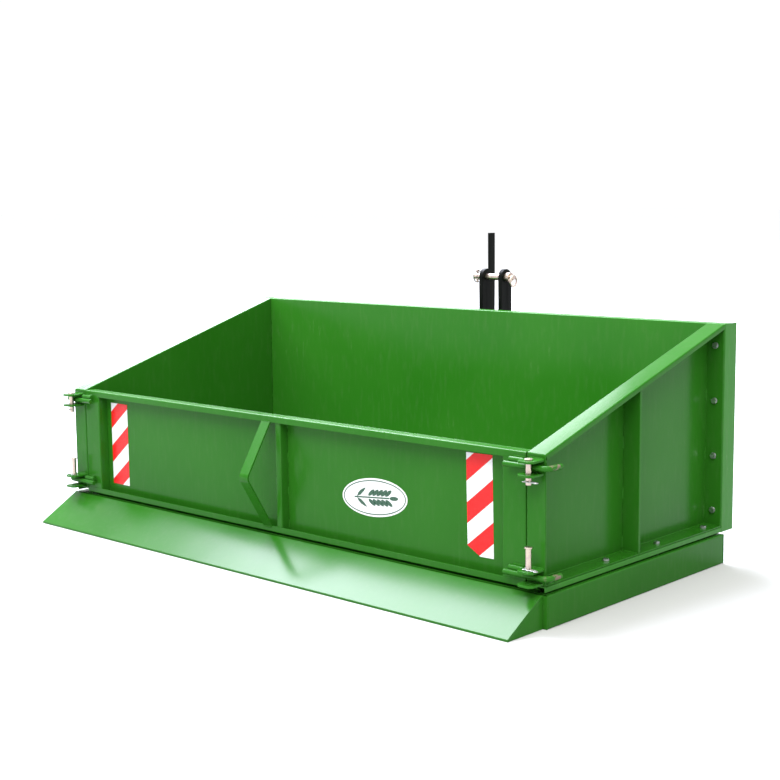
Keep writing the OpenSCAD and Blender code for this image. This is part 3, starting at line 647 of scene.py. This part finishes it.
def print_shape(bm, outline, y0, y1, hole=None):
    """A thin raised shape in the X-Z plane, from y0 to y1, with an optional hole inside."""
    def loop(points, y):
        """The outline's vertices at one depth."""
        return [bm.verts.new((x, y, z)) for x, z in points]

    front, back = loop(outline, y0), loop(outline, y1)
    count = len(outline)
    rims = [(front, back)]
    if hole:
        inner_front, inner_back = loop(hole, y0), loop(hole, y1)
        rims.append((inner_front, inner_back))
        for one, two in ((front, inner_front), (back, inner_back)):
            for k in range(count):
                j = (k + 1) % count
                bm.faces.new((one[k], one[j], two[j], two[k]))
    else:
        bm.faces.new(front)
        bm.faces.new(back)
    for one, two in rims:
        for k in range(count):
            j = (k + 1) % count
            bm.faces.new((one[k], one[j], two[j], two[k]))


BADGE_TILT = math.radians(5)
PRINT_T = 0.2 * MM
# the border's outer and inner edge, as shares of the badge's two half axes
BORDER = ((0.955, 0.90), (0.93, 0.845))
# the ear of grain, in millimetres from the badge's middle, with its tip to the right
STEM = [(-62, -1.6), (46, -1.6), (46, 1.6), (-62, 1.6)]
LEAF = [(-54, 1.6), (-50, 9), (-42, 16), (-30, 21), (-24, 22), (-32, 13), (-42, 5)]
GRAINS, FIRST_GRAIN, GRAIN_STEP, GRAIN_OUT = 5, -8, 13, 11
GRAIN_A, GRAIN_B, GRAIN_LEAN = 12, 4.6, math.radians(34)
TIP_X, TIP_A, TIP_B = 60, 13, 4.8
BORDER_STEPS, GRAIN_STEPS = 96, 28


def emblem():
    """An ear of grain and a thin border, printed on the badge."""
    lo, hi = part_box("gate_badge")
    mid = (lo + hi) / 2
    c, s = math.cos(BADGE_TILT), math.sin(BADGE_TILT)
    half_x, half_z = (hi.x - lo.x) / 2, (hi.z - lo.z) / 2
    # half axes of the tilted oval, from the box around it
    long = math.sqrt((half_x ** 2 * c * c - half_z ** 2 * s * s) / (c * c - s * s))
    short = math.sqrt((half_z ** 2 * c * c - half_x ** 2 * s * s) / (c * c - s * s))

    def turned(points):
        """Points on the badge, in the frame."""
        return [(mid.x + x * c - z * s, mid.z + x * s + z * c) for x, z in points]

    def oval(x, z, a, b, lean, count):
        """An oval about (x, z) with half axes a and b, leaning by an angle."""
        u, v = math.cos(lean), math.sin(lean)
        spots = ((a * math.cos(t), b * math.sin(t))
                 for t in (2 * math.pi * k / count for k in range(count)))
        return turned([(x + p * u - q * v, z + p * v + q * u) for p, q in spots])

    bm = bmesh.new()
    y0, y1 = lo.y - PRINT_T, lo.y
    outer, inner = (oval(0, 0, a * long, b * short, 0, BORDER_STEPS) for a, b in BORDER)
    print_shape(bm, outer, y0, y1, inner)
    print_shape(bm, turned([(x * MM, z * MM) for x, z in STEM]), y0, y1)
    for way in (-1, 1):
        for k in range(GRAINS):
            x = (FIRST_GRAIN + GRAIN_STEP * k) * MM
            print_shape(bm, oval(x, way * GRAIN_OUT * MM, GRAIN_A * MM, GRAIN_B * MM,
                                 way * GRAIN_LEAN, GRAIN_STEPS), y0, y1)
        print_shape(bm, turned([(x * MM, way * z * MM) for x, z in LEAF]), y0, y1)
    print_shape(bm, oval(TIP_X * MM, 0, TIP_A * MM, TIP_B * MM, 0, GRAIN_STEPS), y0, y1)
    bmesh.ops.recalc_face_normals(bm, faces=bm.faces)
    mesh = bpy.data.meshes.new("emblem")
    bm.to_mesh(mesh)
    bm.free()
    return new_object("emblem", mesh, EMBLEM_GREEN)


placed(emblem(), [], "tailgate")

# ---------------------------------------------------------------- rows of bolts and nuts

# M8: width across the flats, height of the head, shank, washer
AF, HEAD_H, SHANK_R, WASHER_R, WASHER_T = 13 * MM, 5.3 * MM, 4 * MM, 7.6 * MM, 1.2 * MM
SHANK_LEN, SHANK_TIP = 13 * MM, 0.5 * MM
HEX_STEP = math.pi / 3
# the round flat on top of a head is this much of its width, and its corners fall away from there
CROWN_SHARE, CROWN_FALL = 0.93, math.radians(30)
TIP_SHARE = 0.9
# a fastener is in the floor's row when it is this near to the floor and to the front of the rear
FLOOR_ROW_NEAR, REAR_ROW_NEAR = 25 * MM, 12 * MM
# how each row's fasteners are turned about X: (in the rear row, kind)
TURNED = {(True, "bolt"): 90, (True, "nut"): -90, (False, "bolt"): 0, (False, "nut"): 180}
BOLT_SEED, NUT_SEED = 3, 11


def node_group(name, inputs):
    """An empty geometry node tree with named inputs, its group nodes, and its input keys."""
    tree = bpy.data.node_groups.new(name, "GeometryNodeTree")
    keys = {}
    for label, kind in inputs:
        item = tree.interface.new_socket(label, in_out="INPUT", socket_type="NodeSocket" + kind)
        keys[label] = item.identifier
    tree.interface.new_socket("Geometry", in_out="OUTPUT", socket_type="NodeSocketGeometry")
    return tree, tree.nodes.new("NodeGroupInput").outputs, tree.nodes.new("NodeGroupOutput"), keys


def geometry_finish(tree, geometry, mat, out):
    """Ends a tree: real mesh with the material set on it."""
    real = add(tree, "GeometryNodeRealizeInstances", {0: geometry}).outputs[0]
    painted = add(tree, "GeometryNodeSetMaterial", {"Geometry": real, "Material": mat})
    tree.links.new(painted.outputs[0], out.inputs[0])


def fastener_row_tree():
    """A row of copies of one fastener, each turned about its own axis by chance."""
    tree, given, out, keys = node_group("fastener_row", [
        ("Fastener", "Object"), ("Count", "Int"), ("Start", "Vector"), ("Step", "Vector"),
        ("Turn", "Rotation"), ("Seed", "Int"), ("Finish", "Material")])
    line = add(tree, "GeometryNodeMeshLine", {
        "Count": given["Count"], "Start Location": given["Start"], "Offset": given["Step"]},
        mode="OFFSET")
    part = add(tree, "GeometryNodeObjectInfo", {"Object": given["Fastener"]})
    row = add(tree, "GeometryNodeInstanceOnPoints", {
        "Points": line.outputs[0], "Instance": part.outputs["Geometry"],
        "Rotation": given["Turn"]})
    spin = add(tree, "FunctionNodeRandomValue", {"Seed": given["Seed"]}, data_type="FLOAT")
    float_max, float_value = 3, 1
    spin.inputs[float_max].default_value = HEX_STEP
    about = add(tree, "ShaderNodeCombineXYZ", {"Z": spin.outputs[float_value]})
    turned = add(tree, "GeometryNodeRotateInstances", {
        "Instances": row.outputs[0], "Rotation": about.outputs[0]})
    turned.inputs["Local Space"].default_value = True
    geometry_finish(tree, turned.outputs[0], given["Finish"], out)
    return tree, keys


def shaped_by(name, tree, keys, values, mesh=None):
    """A mesh made by a geometry node tree from named values."""
    obj = new_object(name, mesh or bpy.data.meshes.new(name))
    shaper = obj.modifiers.new("shape", "NODES")
    shaper.node_group = tree
    for label, value in values.items():
        shaper[keys[label]] = value
    return baked(obj)


def ring_stack(name, rings, count=24):
    """A closed solid through rings of (height, radius by angle), about the Z axis."""
    bm = bmesh.new()
    rows = []
    for height, radius in rings:
        row = []
        for k in range(count):
            a = 2 * math.pi * k / count
            r, z = radius(a), height(a) if callable(height) else height
            row.append(bm.verts.new((r * math.cos(a), r * math.sin(a), z)))
        rows.append(row)
    for low, high in zip(rows, rows[1:]):
        for k in range(count):
            j = (k + 1) % count
            bm.faces.new((low[k], low[j], high[j], high[k]))
    bm.faces.new(reversed(rows[0]))
    bm.faces.new(rows[-1])
    mesh = bpy.data.meshes.new(name)
    bm.to_mesh(mesh)
    bm.free()
    return new_object(name, mesh)


def hexagon(a):
    """The hexagon's radius at an angle."""
    return AF / 2 / math.cos((a + HEX_STEP / 2) % HEX_STEP - HEX_STEP / 2)


def round_of(r):
    """A circle's radius at any angle."""
    return lambda a: r


def chamfer(a):
    """The height at which a head's corner is cut, at an angle."""
    return HEAD_H - (hexagon(a) - CROWN_SHARE * AF / 2) * math.tan(CROWN_FALL)


def fastener(kind):
    """A hexagon bolt or nut on a washer; it sits on Z = 0 and its head is above that."""
    rings = []
    if kind == "bolt":
        rings = [(-SHANK_LEN, round_of(TIP_SHARE * SHANK_R)),
                 (-SHANK_LEN + SHANK_TIP, round_of(SHANK_R)), (0.0, round_of(SHANK_R))]
    rings += [(0.0, round_of(WASHER_R)), (WASHER_T, round_of(WASHER_R)), (WASHER_T, hexagon),
              (chamfer, hexagon), (HEAD_H, round_of(CROWN_SHARE * AF / 2))]
    return ring_stack(kind, rings)


def seats_of(boxes, kind, rear):
    """Where the fasteners in these boxes sit: under a bolt's head or on a nut's face."""
    seats = []
    for lo, hi in boxes:
        seat = (lo + hi) / 2
        if rear:
            seat.y = lo.y + HEAD_H if kind == "bolt" else lo.y
        else:
            seat.z = hi.z - HEAD_H if kind == "bolt" else hi.z
        seats.append(seat)
    return seats


def in_floor_row(box):
    lo, hi = box
    near_floor = abs((lo.z + hi.z) / 2 - floor_z) < FLOOR_ROW_NEAR
    return near_floor and hi.y < rear_y - REAR_ROW_NEAR


def fastener_rows(node, kind, seed):
    """The floor row and the rear row of each side, placed where the CAD node has them."""
    tree, keys = fastener_row_tree()
    part = fastener(kind)
    boxes = islands(node)
    rows = []
    for side in (LEFT, RIGHT):
        here = [box for box in boxes if box[0].x * side > 0]
        low = sorted((box for box in here if in_floor_row(box)), key=lambda box: box[0].y)
        high = sorted((box for box in here if not in_floor_row(box)),
                      key=lambda box: box[0].z)
        for group, rear in ((low, False), (high, True)):
            seats = seats_of(group, kind, rear)
            angle = math.radians(TURNED[rear, kind])
            rows.append(shaped_by(f"{kind}_row", tree, keys, {
                "Fastener": part, "Count": len(seats), "Start": seats[0],
                "Step": seats[1] - seats[0], "Turn": (angle, 0.0, 0.0),
                "Seed": seed + len(rows), "Finish": BRIGHT_ZINC}))
    bpy.data.objects.remove(part)
    return placed(joined(f"{kind}_rows", rows, BRIGHT_ZINC), [node], "tub")


fastener_rows("wall_bolts", "bolt", BOLT_SEED)
fastener_rows("wall_nuts", "nut", NUT_SEED)

# ---------------------------------------------------------------- weld beads

RIPPLE_PITCH = 3.2 * MM
BEAD_R = {"tub": 2.2 * MM, "tailgate": 1.9 * MM, "headstock": 2.4 * MM}
# how far a bead stays from the corner or the edge that it runs towards
INSET, EDGE_INSET, RIB_INSET, LUG_INSET, CHANNEL_INSET = 2 * MM, 3 * MM, 4 * MM, 6 * MM, 10 * MM
# length of the short beads on the ribs, the rear flange, the rear channels and the gate's rib
RIB_STITCH, FLANGE_STITCH, CHANNEL_STITCH, GATE_STITCH = 28 * MM, 30 * MM, 30 * MM, 22 * MM
# the run of short beads along the rear wall's flange
FLANGE_Z, FLANGE_RUN = 102 * MM, 310 * MM
# a corner plate's thickness, and where the handle's two ends are welded
PLATE_T, HANDLE_IN, HANDLE_OUT = 5 * MM, 1 * MM, 8 * MM
# thickness of the rods at the tailgate's corners
ROD_D = 12 * MM
RING_STEPS = 24


def weld_tree():
    """A rippled bead along every edge of a mesh, thinner towards both its ends."""
    tree, given, out, keys = node_group("weld_bead", [
        ("Lines", "Geometry"), ("Radius", "Float"), ("Pitch", "Float"), ("Finish", "Material")])
    curve = add(tree, "GeometryNodeMeshToCurve", {"Mesh": given["Lines"]}).outputs[0]
    step = math_node(tree, "MULTIPLY", given["Pitch"], 0.25)
    fine = add(tree, "GeometryNodeResampleCurve", {"Curve": curve, "Length": step},
               mode="LENGTH").outputs[0]
    run = add(tree, "GeometryNodeSplineParameter").outputs["Length"]
    whole = add(tree, "GeometryNodeSplineLength").outputs["Length"]
    wave = math_node(tree, "SINE", math_node(
        tree, "MULTIPLY", math_node(tree, "DIVIDE", run, given["Pitch"]), 2 * math.pi))
    place = add(tree, "GeometryNodeInputPosition").outputs[0]
    rough = noise(tree, place, 130.0)
    near = math_node(tree, "MINIMUM", run, math_node(tree, "SUBTRACT", whole, run))
    taper = spread(tree, math_node(tree, "DIVIDE", near, given["Radius"]), 0.0, 1.3, 0.35, 1.0)
    swell = math_node(tree, "MULTIPLY_ADD", wave, 0.11,
                      math_node(tree, "MULTIPLY_ADD", rough, 0.5, 0.75))
    size = math_node(tree, "MULTIPLY", math_node(tree, "MULTIPLY", swell, taper),
                     given["Radius"])
    ring = add(tree, "GeometryNodeCurvePrimitiveCircle", {"Resolution": 8, "Radius": 1.0})
    bead = add(tree, "GeometryNodeCurveToMesh", {
        "Curve": fine, "Profile Curve": ring.outputs[0], "Scale": size, "Fill Caps": True})
    geometry_finish(tree, bead.outputs[0], given["Finish"], out)
    return tree, keys


WELDS, WELD_KEYS = weld_tree()


def weld(body, lines, mat):
    """Beads along (start, end) lines, on one body."""
    mesh = bpy.data.meshes.new(body + "_weld_lines")
    ends = [tuple(end) for line in lines for end in line]
    mesh.from_pydata(ends, [(k, k + 1) for k in range(0, len(ends), 2)], [])
    beads = shaped_by(body + "_welds", WELDS, WELD_KEYS,
                      {"Radius": BEAD_R[body], "Pitch": RIPPLE_PITCH, "Finish": mat}, mesh)
    placed(joined(body + "_weld_beads", [beads], mat), [], body)


def stitches(start, end, count, length):
    """Short lines of one length, evenly spread from start to end."""
    start, end = Vector(start), Vector(end)
    along = (end - start).normalized() * length
    gap = (end - start - along) / max(count - 1, 1)
    return [(start + gap * k, start + gap * k + along) for k in range(count)]


def tub_welds():
    """Beads on the side ribs, rear flange, corner plates, lugs, rear channels, stops, striker."""
    lines = []
    for side, turn in SIDES.items():
        lo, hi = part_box(f"side_rib_{side}")
        inner, outer = (lo.x, hi.x) if turn > 0 else (hi.x, lo.x)
        for y in (lo.y, hi.y):
            top = hi.z - slope * (hi.y - y)
            for z in (lo.z, top):
                lines.append(((inner + turn * INSET, y, z), (outer - turn * EDGE_INSET, y, z)))
            lines += stitches((inner, y, lo.z + RIB_INSET), (inner, y, top - RIB_INSET), 4,
                              RIB_STITCH)
        flange = Vector((turn * (wall_x + sheet), rear_y - sheet, FLANGE_Z))
        lines += stitches(flange, flange + Vector((0, 0, FLANGE_RUN)), 3, FLANGE_STITCH)
        for stem in ("bracket_upper", "bracket_lower"):
            lo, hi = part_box(f"{stem}_{side}")
            for z in (lo.z, lo.z + PLATE_T, hi.z - PLATE_T, hi.z):
                lines.append(((lo.x + INSET, front_y, z), (hi.x - INSET, front_y, z)))
        lo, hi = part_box(f"pivot_lug_{side}")
        for x in (lo.x, hi.x):
            lines.append(((x, lo.y, lo.z + LUG_INSET), (x, lo.y, hi.z - LUG_INSET)))
        lo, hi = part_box(f"rear_channel_{side}")
        for x in (lo.x, hi.x):
            lines += stitches((x, lo.y, lo.z + CHANNEL_INSET),
                              (x, lo.y, hi.z - CHANNEL_INSET), 6, CHANNEL_STITCH)
    for node in ("mast_stop", "latch_striker"):
        for lo, hi in islands(node):
            for x in (lo.x, hi.x):
                lines.append(((x, lo.y, lo.z + INSET), (x, lo.y, hi.z - INSET)))
    return lines


def tailgate_welds():
    """Beads on the corner rods, the handle's ends and the middle rib."""
    lines = []
    for side, turn in SIDES.items():
        post_lo, post_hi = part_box(f"gate_post_{side}")
        outer = post_hi.x if turn > 0 else post_lo.x
        for stem in ("trunnion_upper", "trunnion_lower"):
            lo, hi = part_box(f"{stem}_{side}")
            inner = lo.x if turn > 0 else hi.x
            for z in (hi.z, hi.z - ROD_D):
                lines.append(((inner + turn * ROD_D, front_y, z),
                              (outer - turn * EDGE_INSET, front_y, z)))
    lo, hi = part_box("gate_handle")
    for z in (hi.z - HANDLE_IN, hi.z - HANDLE_OUT, lo.z + HANDLE_IN, lo.z + HANDLE_OUT):
        lines.append(((lo.x + INSET, front_y, z), (hi.x - INSET, front_y, z)))
    lo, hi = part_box("gate_rib")
    for x in (lo.x, hi.x):
        lines += stitches((x, panel_lo.y, lo.z + RIB_INSET), (x, panel_lo.y, hi.z - RIB_INSET),
                          4, GATE_STITCH)
    return lines


def headstock_welds():
    """Beads on the mast's gussets and around the cross bar at each mast plate."""
    lines = []
    bar_lo, bar_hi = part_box("lower_link_pin_left")
    bar = Vector((0, (bar_lo.y + bar_hi.y) / 2, (bar_lo.z + bar_hi.z) / 2))
    bar_r = (bar_hi.z - bar_lo.z) / 2
    for side, turn in SIDES.items():
        lo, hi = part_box(f"mast_brace_{side}")
        inner, outer = (lo.x, hi.x) if turn > 0 else (hi.x, lo.x)
        lines += [((inner, lo.y, lo.z + EDGE_INSET), (inner, lo.y, hi.z - EDGE_INSET)),
                  ((inner, lo.y, lo.z), (outer, lo.y, lo.z))]
        lo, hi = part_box(f"mast_{side}")
        for x in (lo.x, hi.x):
            angles = (2 * math.pi * k / RING_STEPS for k in range(RING_STEPS))
            ring = [bar + Vector((x, bar_r * math.cos(a), bar_r * math.sin(a))) for a in angles]
            lines += [(ring[k], ring[(k + 1) % RING_STEPS]) for k in range(RING_STEPS)]
    return lines


weld("tub", tub_welds(), GREEN)
weld("tailgate", tailgate_welds(), GREEN)
weld("headstock", headstock_welds(), BLACK)

# ---------------------------------------------------------------- stage, light and camera

FLOOR_HALF = 120.0
# the floor is pale, and darker where the lamps stand over it: within the first distance of the
# middle, fading out by the second
FLOOR_PALE, FLOOR_PALER, FLOOR_UNDER_LAMPS = (0.95,) * 3, (0.96,) * 3, (0.44,) * 3
LAMPS_NEAR, LAMPS_FAR = 2.5, 9.0
WORLD_COLOUR, WORLD_STRENGTH = (0.99, 1.0, 1.0, 1), 1.06
# name: (place, height of the spot it is aimed at, size, watts, colour)
LAMPS = {
    "sky_panel": ((-3.8, 1.1, 7.4), 0.3, (5.5, 6.0), 2600, (0.84, 0.85, 1.0)),
    "side_panel": ((-5.9, 4.2, 4.5), 0.3, (4.0, 3.0), 520, (0.86, 0.90, 1.0)),
    "left_panel": ((-5.7, -3.7, 5.3), 0.3, (2.6, 2.4), 130, (0.88, 0.92, 1.0)),
    "key": ((2.5, -4.0, 6.5), 0.2, (7.0, 5.0), 900, (1.0, 1.0, 0.96)),
}
# the camera's place (Y from the tailgate's side of the tub), its turn in degrees, and its lens
EYE = (2.4412, -2.2170, 0.8532)
EYE_TURN, EYE_TILT, EYE_ROLL = 42.9, -7.6, -0.6
LENS, SENSOR, VIEW_END = 65.03, 36.0, 300.0


def floor():
    """A wide pale floor, matt, that only the stage has."""
    bm = bmesh.new()
    bmesh.ops.create_grid(bm, x_segments=1, y_segments=1, size=FLOOR_HALF)
    mesh = bpy.data.meshes.new("studio_floor")
    bm.to_mesh(mesh)
    bm.free()
    mat, tree, shader = new_material("floor_paint")
    place = coords(tree)
    soft = spread(tree, noise(tree, place, 2.0), 0.3, 0.7)
    pale = blend_colour(tree, soft, FLOOR_PALER, FLOOR_PALE)
    away = add(tree, "ShaderNodeVectorMath", {0: place}, operation="LENGTH").outputs["Value"]
    under_lamps = spread(tree, away, LAMPS_NEAR, LAMPS_FAR, 1.0, 0.0)
    tree.links.new(blend_colour(tree, under_lamps, pale, FLOOR_UNDER_LAMPS),
                   shader.inputs["Base Color"])
    shader.inputs["Roughness"].default_value = 0.9
    shader.inputs["Specular IOR Level"].default_value = 0.1
    new_object("studio_floor", mesh, mat)


def lamp(name, place, aim_z, size, power, colour):
    """A soft rectangular lamp, aimed at a spot above the middle of the floor."""
    data = bpy.data.lights.new(name, "AREA")
    data.shape = "RECTANGLE"
    data.size, data.size_y = size
    data.energy = power
    data.color = colour
    obj = bpy.data.objects.new(name, data)
    bpy.context.scene.collection.objects.link(obj)
    obj.location = place
    aim = Vector((0.0, 0.0, aim_z)) - Vector(place)
    obj.rotation_euler = aim.to_track_quat("-Z", "Y").to_euler()


def studio():
    """An even white surround, the lamps, and plain display colours."""
    world = bpy.data.worlds.new("studio")
    world.use_nodes = True
    back = world.node_tree.nodes["Background"]
    back.inputs["Color"].default_value = WORLD_COLOUR
    back.inputs["Strength"].default_value = WORLD_STRENGTH
    bpy.context.scene.world = world
    for name, values in LAMPS.items():
        lamp(name, *values)
    bpy.context.scene.view_settings.view_transform = "Standard"


def camera():
    """A camera off the front right corner, a little above the box and looking slightly down."""
    eye = Vector(EYE) + Vector((0, front_y, 0))
    azimuth, elevation, roll = (math.radians(v) for v in (EYE_TURN, EYE_TILT, EYE_ROLL))
    data = bpy.data.cameras.new("camera")
    data.sensor_width = SENSOR
    data.lens = LENS
    data.clip_end = VIEW_END
    obj = bpy.data.objects.new("camera", data)
    bpy.context.scene.collection.objects.link(obj)
    turn = Matrix.Rotation(azimuth, 4, "Z") @ Matrix.Rotation(math.pi / 2 + elevation, 4, "X")
    obj.matrix_world = Matrix.Translation(eye) @ turn @ Matrix.Rotation(roll, 4, "Z")
    bpy.context.scene.camera = obj


floor()
studio()
camera()
